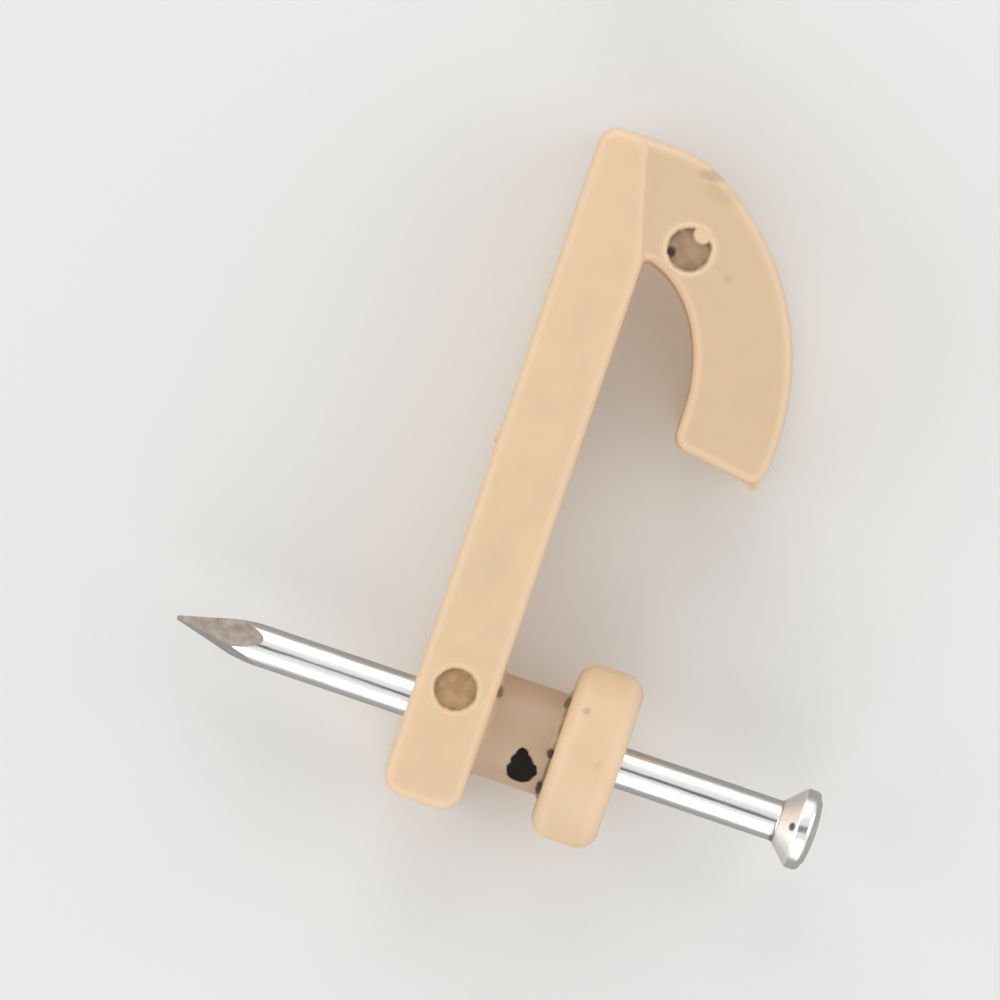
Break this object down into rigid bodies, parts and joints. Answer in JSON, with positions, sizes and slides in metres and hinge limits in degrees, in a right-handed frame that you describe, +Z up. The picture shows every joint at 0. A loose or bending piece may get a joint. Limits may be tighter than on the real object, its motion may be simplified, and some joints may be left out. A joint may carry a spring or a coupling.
{
  "type": "picture hook",
  "caption": "J-shaped moulded plastic picture hook with a flat bar that lies on the wall, a round spool that guides a steel nail, and a curved arm that holds the wire.",
  "frame": {"origin": "where the nail's axis passes through the back of the bar, on the wall's face", "axes": "+Y along the nail into the wall, +Z up the wall, +X across the hook's width"},
  "size_m": [0.0054, 0.02, 0.0208],
  "materials": {
    "hook_plastic": "satin beige moulding",
    "nail_steel": "bright drawn wire"
  },
  "bodies": {
    "root": {"hook_body": "hook_plastic", "nail": "nail_steel"}
  },
  "joints": []
}
